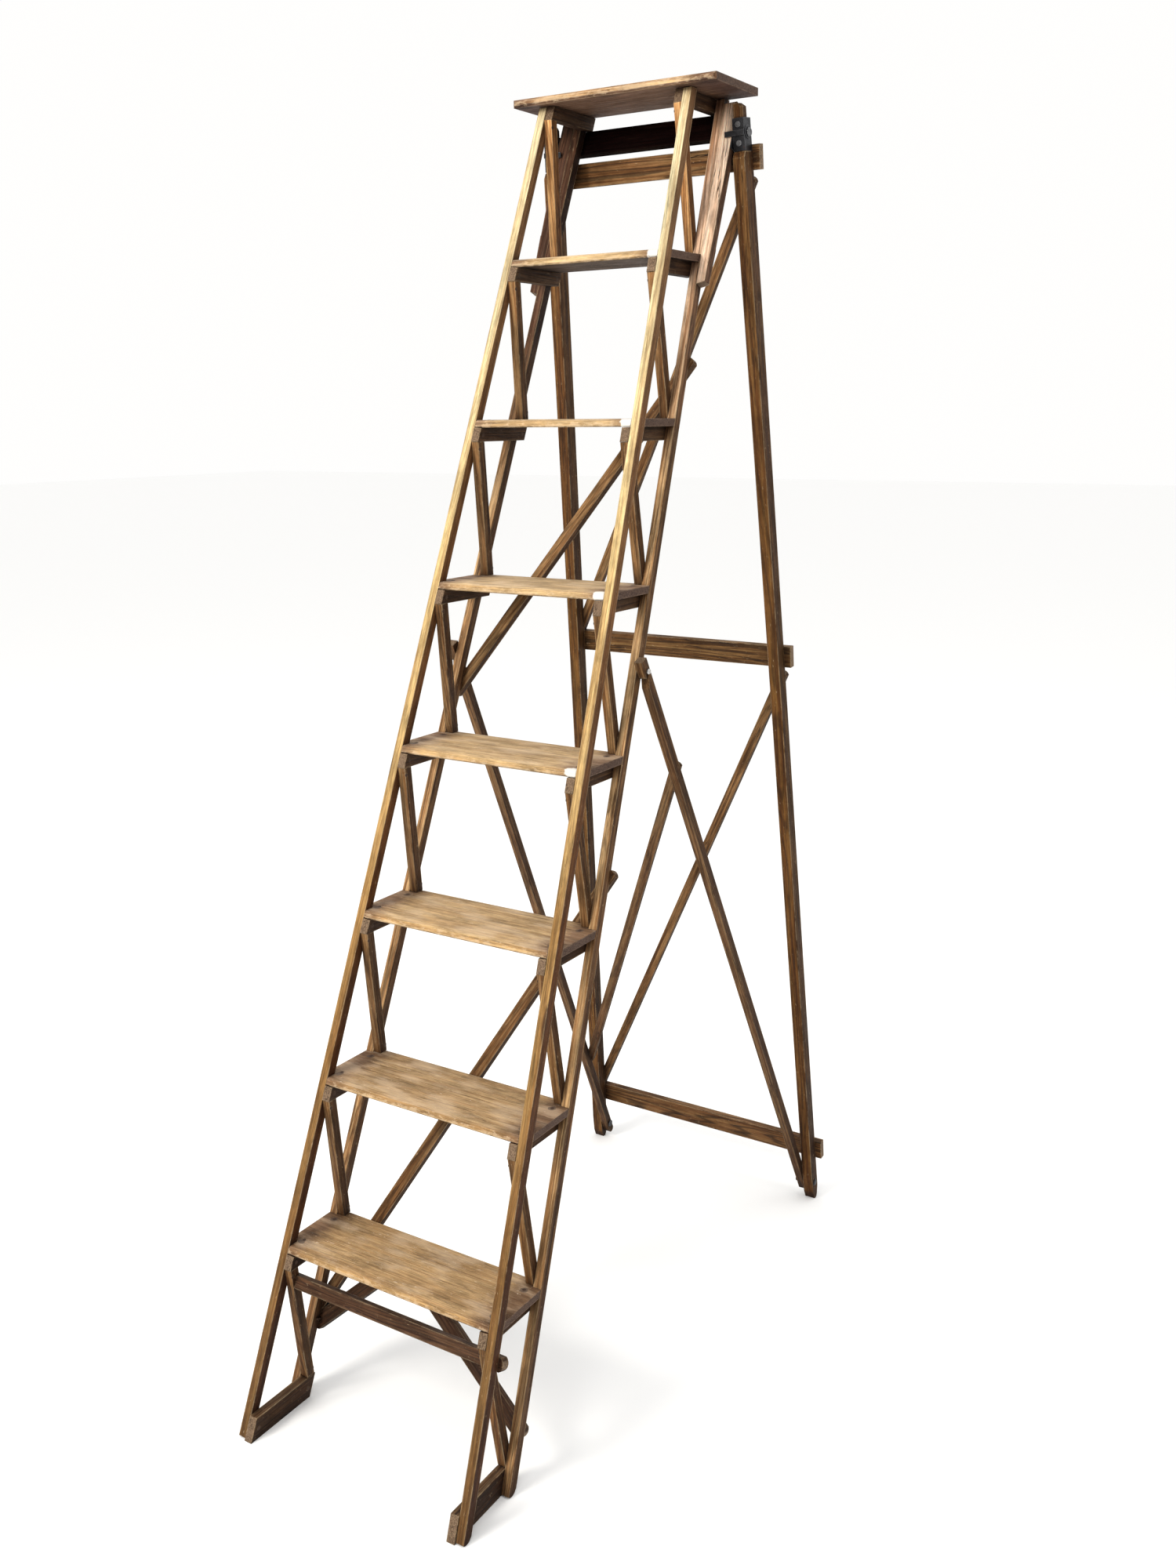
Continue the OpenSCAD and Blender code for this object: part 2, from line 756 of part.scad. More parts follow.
// The bolts that the stay turns on, through the prop's feet.
module stay_pivots() {
    x0 = strut_foot_x - strut_t / 2 - 1.2;
    x1 = prop_x(pivot_s) + leg_w / 2 + 0.6;
    color("#3a3733") placed() for (s = [-1, 1]) sided(s)
        translate([x0, pivot_y, pivot_z]) rotate([0, 90, 0]) {
            cylinder(r = bolt_r, h = x1 - x0);
            translate([0, 0, x1 - x0]) cylinder(r1 = 6.5, r2 = 4.5, h = 2);
            translate([0, 0, -1.8]) cylinder(r = 6.5, h = 1.8);
        }
}

module prop_nails() {
    color("#2a2622") placed() prop_nails_at();
}

// ---- Stay frame ----

// Centre of a strut at distance l above the pivots.
function strut_x(l) = strut_foot_x - l * tan(strut_splay);

module strut_line() {
    stay_plane() translate([strut_foot_x, 0, 0]) rotate([0, -strut_splay, 0]) children();
}

// A strut's side outline: round foot, square head, and a slot that hooks down over the catch pin.
module strut_outline() {
    head = stay_len / cos(strut_splay);
    foot = strut_d / 2 - strut_tail;
    difference() {
        union() {
            translate([-strut_d / 2, foot]) square([strut_d, head + strut_head - foot]);
            translate([0, foot]) circle(strut_d / 2);
        }
        translate([0, head]) {
            circle(hook_w / 2);
            rotate(-hook_angle) translate([-hook_w / 2, -60]) square([hook_w, 60]);
        }
    }
}

module stay_strut(s) {
    color("#6c4e2c") placed() difference() {
        sided(s) difference() {
            strut_line() across(-strut_t / 2, strut_t) strut_outline();
            pivot_bore(bolt_r + run_gap);
        }
        stay_nails_at(hole_gap);
    }
}

module stay_strut_left() { stay_strut(-1); }
module stay_strut_right() { stay_strut(1); }

// The diagonal on the backs of the struts.
module stay_cross_brace() {
    w = 16;
    color("#5e4326") placed() difference() {
        stay_plane() backing(strut_d / 2 + touch_gap, tie_t)
            board([-strut_x(tie_low) + tie_in, tie_low], [strut_x(tie_high) - tie_in, tie_high], w);
        stay_nails_at(hole_gap);
    }
}

module stay_nails() {
    color("#2a2622") placed() stay_nails_at();
}

front_stile_left();
front_stile_right();
rear_stile_left();
rear_stile_right();
platform();
tread(1);  // tread_1
tread(2);  // tread_2
tread(3);  // tread_3
tread(4);  // tread_4
tread(5);  // tread_5
tread(6);  // tread_6
tread(7);  // tread_7
bearers(1);  // bearers_1
bearers(2);  // bearers_2
bearers(3);  // bearers_3
bearers(4);  // bearers_4
bearers(5);  // bearers_5
bearers(6);  // bearers_6
bearers(7);  // bearers_7
bearers(8);  // bearers_8
lattice(1);  // lattice_1
lattice(2);  // lattice_2
lattice(3);  // lattice_3
lattice(4);  // lattice_4
lattice(5);  // lattice_5
lattice(6);  // lattice_6
lattice(7);  // lattice_7
lattice(8);  // lattice_8
foot_bar_left();
foot_bar_right();
front_cross_rail();
knee_brace_left();
knee_brace_right();
back_diagonal_lower();
back_diagonal_upper();
top_back_rail();
cheek_left();
cheek_right();
cheek_plates();
catch_pins();
tread_nails();
side_nails();
back_nails();
prop_leg_left();
prop_leg_right();
prop_rail_top();
prop_rail_middle();
prop_rail_bottom();
prop_diagonal_upper();
prop_diagonal_lower();
leg_straps();
strap_screws();
hinge_pins();
stay_pivots();
prop_nails();
stay_strut_left();
stay_strut_right();
stay_cross_brace();
stay_nails();
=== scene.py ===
"""Looks, camera and light for the folding lattice-sided step ladder. Metres, in the CAD's frame."""

import math

import bpy
from mathutils import Matrix, Vector


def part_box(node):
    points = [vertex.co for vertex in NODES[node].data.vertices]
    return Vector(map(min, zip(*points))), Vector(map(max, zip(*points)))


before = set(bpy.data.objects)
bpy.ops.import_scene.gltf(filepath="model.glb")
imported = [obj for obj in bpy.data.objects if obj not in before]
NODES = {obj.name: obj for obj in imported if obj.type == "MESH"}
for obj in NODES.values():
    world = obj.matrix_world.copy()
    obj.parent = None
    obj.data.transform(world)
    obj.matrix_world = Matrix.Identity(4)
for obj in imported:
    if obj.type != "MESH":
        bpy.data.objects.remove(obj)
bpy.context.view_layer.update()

# ---- Directions that the boards' grain runs in ----
# Leans are angles from upright. TAPER and the spreads are metres inwards for each metre up. LATTICE runs
# up a brace in the ladder's side.

LEAN = math.radians(21.2)
TAPER = 0.0387
HINGE_HEIGHT = 1.930
PROP_FOOT_BEHIND_HINGE = 0.237
PROP_LEAN = math.atan2(PROP_FOOT_BEHIND_HINGE, HINGE_HEIGHT)
PROP_SPREAD = 0.0368
STAY_LEAN = math.radians(26.2)
STAY_SPREAD = 0.040

ACROSS = Vector((1, 0, 0))
FORE_AFT = Vector((0, 1, 0))
LATTICE = Vector((0, -0.13, 1))


def side_of(name):
    """1 for a right-hand node, -1 for a left-hand one."""
    return 1 if name.endswith("right") else -1


def up_board(name, inwards, backwards):
    """Up a board of one side, which runs that far inwards and backwards for each metre up."""
    return Vector((-side_of(name) * inwards, backwards, 1))


def up_stile(name):
    return up_board(name, TAPER, math.tan(LEAN))


def up_leg(name):
    return up_board(name, PROP_SPREAD, -math.tan(PROP_LEAN))


def up_strut(name):
    return up_board(name, STAY_SPREAD, -math.tan(STAY_LEAN))


def up_tie(name, x_sign, y_sign):
    """Up a diagonal board, from the size of its node's box. The signs say which way it slopes."""
    low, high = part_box(name)
    size = high - low
    return Vector((x_sign * size.x, y_sign * size.y, size.z))


# ---- Small shader helpers ----

RAMP_TOP = 2.0


def rgba(colour):
    """A linear colour with its alpha, or a socket unchanged."""
    if isinstance(colour, bpy.types.NodeSocket):
        return colour
    return (*colour, 1.0)


class Graph:
    """A material's node tree, with one short call for each kind of node it needs."""

    def __init__(self, name):
        self.material = bpy.data.materials.new(name)
        self.material.use_nodes = True
        self.tree = self.material.node_tree
        self.tree.nodes.clear()
        output = self.tree.nodes.new("ShaderNodeOutputMaterial")
        self.shader = self.tree.nodes.new("ShaderNodeBsdfPrincipled")
        self.tree.links.new(self.shader.outputs["BSDF"], output.inputs["Surface"])

    def node(self, kind, **settings):
        made = self.tree.nodes.new(kind)
        for key, value in settings.items():
            setattr(made, key, value)
        return made

    def feed(self, socket, value):
        """Links value to the socket if it is a socket, and stores it there if it is a constant."""
        if isinstance(value, bpy.types.NodeSocket):
            self.tree.links.new(value, socket)
        else:
            socket.default_value = value

    def surface(self, **inputs):
        """Sets the shader's inputs: the words of each name are joined by _ here and by spaces there."""
        for key, value in inputs.items():
            self.feed(self.shader.inputs[key.replace("_", " ")], value)

    def calc(self, operation, a, b=0.0):
        """One sum with numbers."""
        made = self.node("ShaderNodeMath", operation=operation)
        self.feed(made.inputs[0], a)
        self.feed(made.inputs[1], b)
        return made.outputs[0]

    def vector(self, operation, a, b):
        """One sum with vectors."""
        made = self.node("ShaderNodeVectorMath", operation=operation)
        self.feed(made.inputs[0], a)
        self.feed(made.inputs[1], b)
        gives_number = operation in ("DOT_PRODUCT", "DISTANCE")
        return made.outputs["Value" if gives_number else "Vector"]

    def split(self, at, axis):
        """One axis of a vector or a colour."""
        made = self.node("ShaderNodeSeparateXYZ")
        self.feed(made.inputs[0], at)
        return made.outputs[axis]

    def remap(self, value, low, high, to_low=0.0, to_high=1.0):
        """value from low..high to to_low..to_high, eased and held at the ends."""
        made = self.node("ShaderNodeMapRange", interpolation_type="SMOOTHSTEP")
        self.feed(made.inputs["Value"], value)
        made.inputs["From Min"].default_value = low
        made.inputs["From Max"].default_value = high
        made.inputs["To Min"].default_value = to_low
        made.inputs["To Max"].default_value = to_high
        return made.outputs["Result"]

    def noise(self, at, scale, detail=3.0, roughness=0.55):
        """Noise with about that many lumps in a metre along each axis."""
        made = self.node("ShaderNodeTexNoise")
        self.feed(made.inputs["Vector"], self.vector("MULTIPLY", at, scale))
        made.inputs["Scale"].default_value = 1.0
        made.inputs["Detail"].default_value = detail
        made.inputs["Roughness"].default_value = roughness
        return made.outputs["Fac"]

    def mix(self, factor, a, b, blend="MIX"):
        """a where the factor is 0, and b where it is 1."""
        made = self.node("ShaderNodeMix", data_type="RGBA", blend_type=blend)
        self.feed(made.inputs["Factor"], factor)
        self.feed(made.inputs["A"], rgba(a))
        self.feed(made.inputs["B"], rgba(b))
        return made.outputs["Result"]

    def tint(self, colour, by):
        """The product of two colours."""
        return self.mix(1.0, colour, by, blend="MULTIPLY")

    def grey(self, value):
        """A grey of that brightness."""
        made = self.node("ShaderNodeCombineXYZ")
        for socket in made.inputs:
            self.feed(socket, value)
        return made.outputs[0]

    def ramp(self, value, stops):
        """A colour that changes evenly from stop to stop. value and the stops run from 0 to RAMP_TOP."""
        made = self.node("ShaderNodeValToRGB")
        self.feed(made.inputs["Fac"], self.calc("DIVIDE", value, RAMP_TOP))
        elements = made.color_ramp.elements
        elements.remove(elements[0])
        elements[0].position = stops[0][0] / RAMP_TOP
        elements[0].color = rgba(stops[0][1])
        for at, colour in stops[1:]:
            elements.new(at / RAMP_TOP).color = rgba(colour)
        return made.outputs["Color"]

    def coordinates(self):
        return self.node("ShaderNodeTexCoord").outputs["Object"]

    def normal(self):
        return self.node("ShaderNodeTexCoord").outputs["Normal"]

    def turned(self, at, along, seed):
        """Coordinates with X along the board, moved so that each seed has its own pattern."""
        made = self.node("ShaderNodeMapping", vector_type="POINT")
        self.feed(made.inputs["Vector"], at)
        made.inputs["Rotation"].default_value = along.rotation_difference(ACROSS).to_euler()
        made.inputs["Location"].default_value = (seed * 1.73, seed * 0.61, seed * 0.37)
        return made.outputs["Vector"]

    def patch(self, at, middle, radius):
        """1 inside a ragged patch round a point."""
        ragged = self.noise(at, (130.0, 130.0, 130.0), detail=5.0, roughness=0.7)
        away = self.calc("ADD", self.vector("DISTANCE", at, middle), self.calc("MULTIPLY", ragged, radius))
        return self.remap(away, radius * 1.35, radius * 1.15)

    def edges(self, radius):
        """1 along sharp edges and 0 on flat faces, and the normal rounded across the edges."""
        made = self.node("ShaderNodeBevel", samples=4)
        made.inputs["Radius"].default_value = radius
        rounded = made.outputs["Normal"]
        flat = self.node("ShaderNodeNewGeometry").outputs["Normal"]
        return self.remap(self.vector("DOT_PRODUCT", rounded, flat), 0.995, 0.86), rounded

    def ambient_shade(self, distance):
        """1 in the open, falling towards 0 where boards meet: the mask for painted shade."""
        made = self.node("ShaderNodeAmbientOcclusion", samples=6)
        made.inputs["Distance"].default_value = distance
        return made.outputs["AO"]

    def bump(self, height, strength, distance, normal=None):
        """Relief on the surface, over the given normal if there is one."""
        made = self.node("ShaderNodeBump")
        made.inputs["Strength"].default_value = strength
        made.inputs["Distance"].default_value = distance
        self.feed(made.inputs["Height"], height)
        if normal is not None:
            self.feed(made.inputs["Normal"], normal)
        self.surface(Normal=made.outputs["Normal"])


# ---- Wood ----

KNOT_CELLS_PER_METRE = (5.0, 30.0, 30.0)
CRACK = (0.022, 0.011, 0.006)

# This and each ramp of heights below is a row of stops: a height above the floor, and a tint. The tints are
# partly the wood's own tone and partly painted light, darker lower down and brighter higher up.
LOW_SHADE_AND_TONE = ((0.0, (0.45, 0.40, 0.36)), (0.35, (0.70, 0.66, 0.62)), (1.2, (1.0, 1.0, 1.0)))


class Grain:
    """The patterns of one board, all in coordinates that run along it."""

    def __init__(self, g, along, seed):
        board = g.turned(g.coordinates(), along, seed)
        self.board = board

        rings = g.calc("MULTIPLY", g.noise(board, (1.4, 21.0, 21.0), detail=2.0, roughness=0.4), 60.0)
        self.ring_lines = g.calc("POWER", g.calc("ABSOLUTE", g.calc("SINE", rings)), 3.0)
        self.streaks = g.noise(board, (4.5, 190.0, 190.0), detail=5.0, roughness=0.65)
        self.fibres = g.noise(board, (22.0, 700.0, 700.0), detail=4.0, roughness=0.75)
        self.blotches = g.noise(board, (13.0, 34.0, 34.0), detail=6.0, roughness=0.75)

        cells = g.node("ShaderNodeTexVoronoi")
        g.feed(cells.inputs["Vector"], g.vector("MULTIPLY", board, KNOT_CELLS_PER_METRE))
        cells.inputs["Scale"].default_value = 1.0
        away = cells.outputs["Distance"]
        has_knot = g.remap(g.split(cells.outputs["Color"], "X"), 0.84, 0.85)
        self.knot = g.calc("MULTIPLY", has_knot, g.remap(away, 0.17, 0.09))
        self.knot_rings = g.calc("SINE", g.calc("MULTIPLY", away, 160.0))

        off_line = g.calc("SUBTRACT", g.noise(board, (3.2, 85.0, 85.0), detail=4.0), 0.5)
        on_line = g.remap(g.calc("ABSOLUTE", off_line), 0.016, 0.003)
        open_here = g.remap(g.noise(board, (7.0, 30.0, 30.0), detail=2.0), 0.47, 0.56)
        self.cracks = g.calc("MULTIPLY", on_line, open_here)


def painted_light_by_facing(g, colours):
    """The palette's colour for the way each face looks, which paints light and shade on it: lit fronts and
    tops, shaded sides and undersides. Also a mask of the faces that look up.
    """
    facing = g.normal()
    look_front = g.remap(g.vector("DOT_PRODUCT", facing, (0, -1, 0)), 0.45, 0.8)
    look_up = g.remap(g.vector("DOT_PRODUCT", facing, (0, 0, 1)), 0.6, 0.85)
    look_down = g.remap(g.vector("DOT_PRODUCT", facing, (0, 0, -1)), 0.3, 0.7)
    colour = g.mix(look_front, colours["side"], colours["front"])
    colour = g.mix(look_up, colour, colours["top"])
    return g.mix(look_down, colour, colours["under"]), look_up


def grained(g, grain, colour, streaky, lines, knotty):
    """Growth rings, streaks, fibres, blotches and knots over a plain colour."""
    tone = g.remap(grain.streaks, 0.34, 0.66, 1.0 - 0.45 * streaky, 1.0 + 0.45 * streaky)
    tone = g.calc("MULTIPLY", tone, g.remap(grain.fibres, 0.30, 0.70, 0.62, 1.34))
    tone = g.calc("MULTIPLY", tone, g.remap(grain.blotches, 0.36, 0.66, 1.14, 0.70))
    tone = g.calc("MULTIPLY", tone, g.remap(grain.ring_lines, 0.35, 1.0, 1.08, 1.08 - 0.42 * lines))
    colour = g.tint(colour, g.grey(tone))
    redder = g.tint(colour, (1.12, 0.86, 0.66))
    colour = g.mix(g.remap(grain.streaks, 0.62, 0.36, 0.0, streaky), colour, redder)
    heart = g.mix(grain.knot_rings, (0.03, 0.013, 0.006), (0.10, 0.045, 0.02))
    return g.mix(g.calc("MULTIPLY", grain.knot, 0.85 * knotty), colour, heart)


def sawn_ends(g, grain, colour, along):
    """Dark end grain on the faces across the board."""
    across_board = g.calc("ABSOLUTE", g.vector("DOT_PRODUCT", g.normal(), tuple(along)))
    end_grain = g.mix(g.remap(grain.fibres, 0.35, 0.7), (0.07, 0.04, 0.024), (0.36, 0.25, 0.155))
    return g.mix(g.calc("MULTIPLY", g.remap(across_board, 0.8, 0.95), 0.8), colour, end_grain)


def worn(g, grain, colour, on_edge, wear, edge):
    """Pale wood on rubbed edges and in chips, and painted shade where boards meet."""
    patchy = g.noise(grain.board, (26.0, 120.0, 120.0), detail=5.0, roughness=0.7)
    rubbed = g.calc("MULTIPLY", g.remap(patchy, 0.38, 0.56), wear)
    colour = g.mix(g.calc("MULTIPLY", on_edge, rubbed), colour, edge)
    chips = g.noise(grain.board, (110.0, 340.0, 340.0), detail=4.0, roughness=0.7)
    chipped = g.remap(chips, 0.64, 0.70, 0.0, wear)
    colour = g.mix(g.calc("MULTIPLY", chipped, 0.6), colour, edge)
    # Painted shade: darker where boards come close together, found by ambient occlusion.
    unshaded = g.remap(g.ambient_shade(distance=0.035), 0.2, 0.9)
    return g.mix(unshaded, g.tint(colour, (0.20, 0.14, 0.11)), colour)


def old_pine(name, along, seed, colours, heights=LOW_SHADE_AND_TONE, streaky=1.0, lines=1.0, wear=0.65,
             edge=(0.56, 0.41, 0.24), shine=0.15, knotty=1.0, cracked=0.7):
    """Old pine with its grain along the board, in the colours of a palette.

    heights tints the colour by height above the floor, both the wood's own tone and painted light that
    falls off lower down, streaky and lines set how strongly the long streaks and the growth rings show,
    wear sets how much pale wood shows on edges and in chips, edge is that wood's colour, shine sets the
    gloss, knotty is 0 on a board without knots, and cracked sets how dark the fine cracks along the
    grain are. The palette's colours paint light and shade by the way each face looks. Returns the
    graph, the colour and a mask of the faces that look up, so that more can be laid over the colour.
    """
    g = Graph(name)
    along = along.normalized()
    grain = Grain(g, along, seed)
    cracks = g.calc("MULTIPLY", grain.cracks, cracked)
    on_edge, rounded = g.edges(radius=0.0028)

    # Painted light and shade: each face gets a lit or shaded colour by the way it looks.
    colour, look_up = painted_light_by_facing(g, colours)
    # By height: the wood's own tone, with painted light brighter higher up and painted shadow where a ramp
    # darkens under the platform.
    colour = g.tint(colour, g.ramp(g.split(g.coordinates(), "Z"), heights))
    colour = grained(g, grain, colour, streaky, lines, knotty)
    colour = sawn_ends(g, grain, colour, along)
    colour = g.mix(cracks, colour, CRACK)
    colour = worn(g, grain, colour, on_edge, wear, edge)

    coarse = g.calc("ADD", g.calc("MULTIPLY", grain.fibres, 0.6), grain.blotches)
    rough = g.remap(coarse, 0.5, 1.1, 0.50, 0.84)
    g.surface(Base_Color=colour, Roughness=rough, Specular_IOR_Level=shine)
    relief = g.calc("ADD", g.calc("MULTIPLY", grain.streaks, streaky), g.calc("MULTIPLY", grain.fibres, 0.8))
    relief = g.calc("SUBTRACT", relief, g.calc("MULTIPLY", grain.ring_lines, 0.22 * lines))
    relief = g.calc("SUBTRACT", relief, g.calc("MULTIPLY", grain.knot, 0.3 * knotty))
    relief = g.calc("SUBTRACT", relief, cracks)
    g.bump(relief, strength=0.6, distance=0.0016, normal=rounded)
    return g, colour, look_up


def wood(node, along, seed, colours, look):
    """A plain old board."""
    g, _, _ = old_pine(f"wood_{node}", along, seed, colours, **look)
    return g.material


# ---- Treads and platform ----

GREY_FROM_END = 0.035
GREY_PAST_END = 0.015
SCUFF_FADE_FROM = 0.0128
SCUFF_FADE_TO = 0.0096
NAIL_FROM_END = 0.021
NAIL_FROM_FRONT = 0.024
NAIL_FROM_BACK = 0.030
STAIN_RADIUS = 0.008
PAINT_FROM_END = 0.022
PAINT_FROM_FRONT = 0.002
PAINT_BELOW_TOP = 0.004
PAINT_RADIUS = 0.014


def stained(g, here, colour, low, high):
    """Dark stains round the four nails."""
    for x in (low.x + NAIL_FROM_END, high.x - NAIL_FROM_END):
        for y in (low.y + NAIL_FROM_FRONT, high.y - NAIL_FROM_BACK):
            stain = g.patch(here, (x, y, high.z), STAIN_RADIUS)
            colour = g.mix(g.calc("MULTIPLY", stain, 0.7), colour, (0.075, 0.055, 0.045))
    return colour


def corner_paint(g, here, colour, low, high):
    """A little old white paint near the right front corner."""
    middle = (high.x - PAINT_FROM_END, low.y + PAINT_FROM_FRONT, high.z - PAINT_BELOW_TOP)
    paint = g.patch(here, middle, PAINT_RADIUS)
    return g.mix(g.calc("MULTIPLY", paint, 0.9), colour, (0.74, 0.71, 0.66))


def trodden_wood(node, seed, colours, look, painted):
    """A tread or the platform: grey at its ends, scuffed in front, rubbed pale, scratched and stained."""
    g, colour, look_up = old_pine(f"wood_{node}", ACROSS, seed, colours, **look)
    here = g.coordinates()
    low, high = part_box(node)
    middle = (low.x + high.x) / 2
    half = (high.x - low.x) / 2

    from_middle = g.calc("ABSOLUTE", g.calc("SUBTRACT", g.split(here, "X"), middle))
    ragged = g.calc("MULTIPLY", g.noise(here, (30.0, 60.0, 30.0), detail=5.0, roughness=0.7), 0.06)
    at_ends = g.remap(g.calc("ADD", from_middle, ragged), half - GREY_FROM_END, half + GREY_PAST_END)
    colour = g.mix(at_ends, colour, g.tint(colour, (0.47, 0.42, 0.48)))

    from_front = g.calc("SUBTRACT", g.split(here, "Y"), low.y)
    frayed = g.calc("MULTIPLY", g.noise(here, (70.0, 160.0, 160.0), detail=5.0, roughness=0.7), 0.022)
    scuffed = g.remap(g.calc("ADD", from_front, frayed), SCUFF_FADE_FROM, SCUFF_FADE_TO, 0.0, 0.45)
    colour = g.mix(scuffed, colour, (0.66, 0.49, 0.31))

    rubbed = g.remap(g.noise(here, (14.0, 34.0, 14.0), detail=4.0), 0.46, 0.66, 0.0, 0.35)
    colour = g.mix(g.calc("MULTIPLY", rubbed, look_up), colour, (0.66, 0.50, 0.34))
    scratches = g.noise(here, (60.0, 260.0, 260.0), detail=5.0, roughness=0.75)
    scars = g.remap(scratches, 0.63, 0.68, 0.0, 0.75)
    colour = g.mix(g.calc("MULTIPLY", scars, look_up), colour, (0.70, 0.55, 0.40))

    colour = stained(g, here, colour, low, high)
    if painted:
        colour = corner_paint(g, here, colour, low, high)
    g.surface(Base_Color=colour)
    return g.material


# ---- Metal ----


def iron(name, dark, light, edge):
    """Old iron between two greys, lighter on its corners, partly rubbed bright and partly a painted
    highlight, and rusted in spots.
    """
    g = Graph(name)
    here = g.coordinates()
    fine = g.noise(here, (420.0, 420.0, 420.0), detail=5.0, roughness=0.7)
    blotch = g.noise(here, (75.0, 75.0, 75.0), detail=4.0, roughness=0.6)
    on_edge, rounded = g.edges(radius=0.0009)
    colour = g.mix(g.remap(blotch, 0.35, 0.65), dark, light)
    colour = g.mix(g.remap(blotch, 0.60, 0.74, 0.0, 0.7), colour, (0.060, 0.024, 0.010))
    # Lighter corners: partly rubbed bright, partly a painted highlight along every edge.
    colour = g.mix(g.calc("MULTIPLY", on_edge, 0.8), colour, edge)
    rough = g.remap(fine, 0.3, 0.7, 0.28, 0.55)
    g.surface(Base_Color=colour, Roughness=rough, Metallic=0.45, Specular_IOR_Level=0.35)
    g.bump(fine, strength=0.30, distance=0.0006, normal=rounded)
    return g.material


def bright_steel(name):
    """A pin rubbed bright by the hook that hangs on it."""
    g = Graph(name)
    rub = g.noise(g.coordinates(), (900.0, 200.0, 200.0), detail=3.0)
    colour = g.mix(rub, (0.30, 0.28, 0.26), (0.75, 0.74, 0.72))
    g.surface(Base_Color=colour, Roughness=g.remap(rub, 0.3, 0.7, 0.22, 0.42), Metallic=1.0)
    g.bump(rub, strength=0.15, distance=0.0004)
    return g.material


def rusty_nail(name):
    """Dark nail heads with a little rust."""
    g = Graph(name)
    rust = g.noise(g.coordinates(), (600.0, 600.0, 600.0), detail=3.0)
    colour = g.mix(rust, (0.020, 0.013, 0.010), (0.11, 0.055, 0.030))
    g.surface(Base_Color=colour, Roughness=g.remap(rust, 0.3, 0.7, 0.55, 0.85), Metallic=0.5)
    g.bump(rust, strength=0.4, distance=0.0005)
    return g.material


# ---- The colours and looks of each kind of board, with light and shade painted in by facing ----


def palette(side, front, top, under):
    """Linear colours, by the way a face looks, which paint light and shade: lit fronts and tops, shaded
    sides and undersides.
    """
    return {"side": side, "front": front, "top": top, "under": under}


HONEY = palette((0.165, 0.090, 0.036), (0.60, 0.52, 0.29), (0.40, 0.27, 0.14), (0.08, 0.04, 0.02))
HONEY_HEIGHTS = (
    (0.0, (0.22, 0.135, 0.08)), (0.35, (0.30, 0.185, 0.105)), (0.8, (0.50, 0.345, 0.215)),
    (1.3, (0.86, 0.73, 0.60)), (1.8, (0.93, 0.91, 0.98)),
)
HONEY_LOOK = {"heights": HONEY_HEIGHTS, "streaky": 0.6, "lines": 0.45, "cracked": 0.35}
BROWN = palette((0.105, 0.055, 0.022), (0.44, 0.29, 0.145), (0.30, 0.19, 0.10), (0.05, 0.025, 0.012))
# Lit and shaded copies for the two rear stiles: the left one is painted dark at its top as the platform's
# shadow, the right one painted brighter at its top as if lit.
BROWN_SHADED_LEFT_HEIGHTS = (
    (0.0, (0.42, 0.36, 0.32)), (0.5, (0.80, 0.74, 0.68)), (1.3, (0.9, 0.88, 0.86)),
    (1.65, (0.20, 0.145, 0.15)),
)
BROWN_LIT_RIGHT_HEIGHTS = (
    (0.0, (0.50, 0.44, 0.38)), (0.5, (0.90, 0.86, 0.80)), (1.4, (1.0, 1.0, 1.0)),
    (1.8, (1.25, 1.28, 1.75)),
)
# Lit and shaded copies for the two cheeks: the right cheek's front is painted pale as if lit, the left cheek
# painted dark as if in shade.
LIT_CHEEK = palette((0.11, 0.06, 0.035), (0.92, 0.70, 0.52), (0.30, 0.20, 0.12), (0.02, 0.01, 0.006))
SHADED_CHEEK = palette((0.05, 0.026, 0.016), (0.09, 0.045, 0.026), (0.10, 0.06, 0.04), (0.02, 0.01, 0.006))
DARK = palette((0.055, 0.028, 0.012), (0.10, 0.052, 0.026), (0.16, 0.10, 0.06), (0.03, 0.015, 0.008))
# Near black for the top back rail: partly a dark stain, partly painted shadow of the platform.
DARK_STAIN_AND_SHADOW = palette((0.03, 0.014, 0.008), (0.006, 0.0018, 0.0015), (0.04, 0.022, 0.014), (0.01, 0.005, 0.003))
DARK_STAIN_AND_SHADOW_LOOK = {"wear": 0.1, "edge": (0.08, 0.04, 0.03), "shine": 0.03, "knotty": 0.0}
LATH = palette((0.072, 0.036, 0.013), (0.21, 0.120, 0.050), (0.20, 0.13, 0.07), (0.04, 0.02, 0.01))
LATH_HEIGHTS = (
    (0.0, (0.7, 0.62, 0.5)), (0.5, (0.9, 0.88, 0.85)), (1.65, (1.0, 1.0, 1.0)),
    (1.85, (2.3, 2.2, 2.1)),
)
LEG = palette((0.070, 0.034, 0.011), (0.145, 0.070, 0.022), (0.28, 0.17, 0.10), (0.05, 0.025, 0.012))
LEG_HEIGHTS = ((0.0, (0.66, 0.60, 0.45)), (1.1, (0.70, 0.66, 0.45)), (1.8, (1.0, 1.0, 1.0)))
RAIL = palette((0.16, 0.090, 0.040), (0.20, 0.108, 0.042), (0.22, 0.13, 0.065), (0.04, 0.02, 0.01))
RAIL_HEIGHTS = ((0.0, (0.6, 0.55, 0.5)), (1.1, (0.62, 0.62, 0.55)), (1.8, (1.0, 1.0, 1.0)))
RAIL_LOOK = {"heights": RAIL_HEIGHTS, "lines": 1.5, "cracked": 1.0}
TREAD = palette((0.075, 0.042, 0.020), (0.44, 0.29, 0.135), (0.42, 0.29, 0.150), (0.05, 0.026, 0.011))
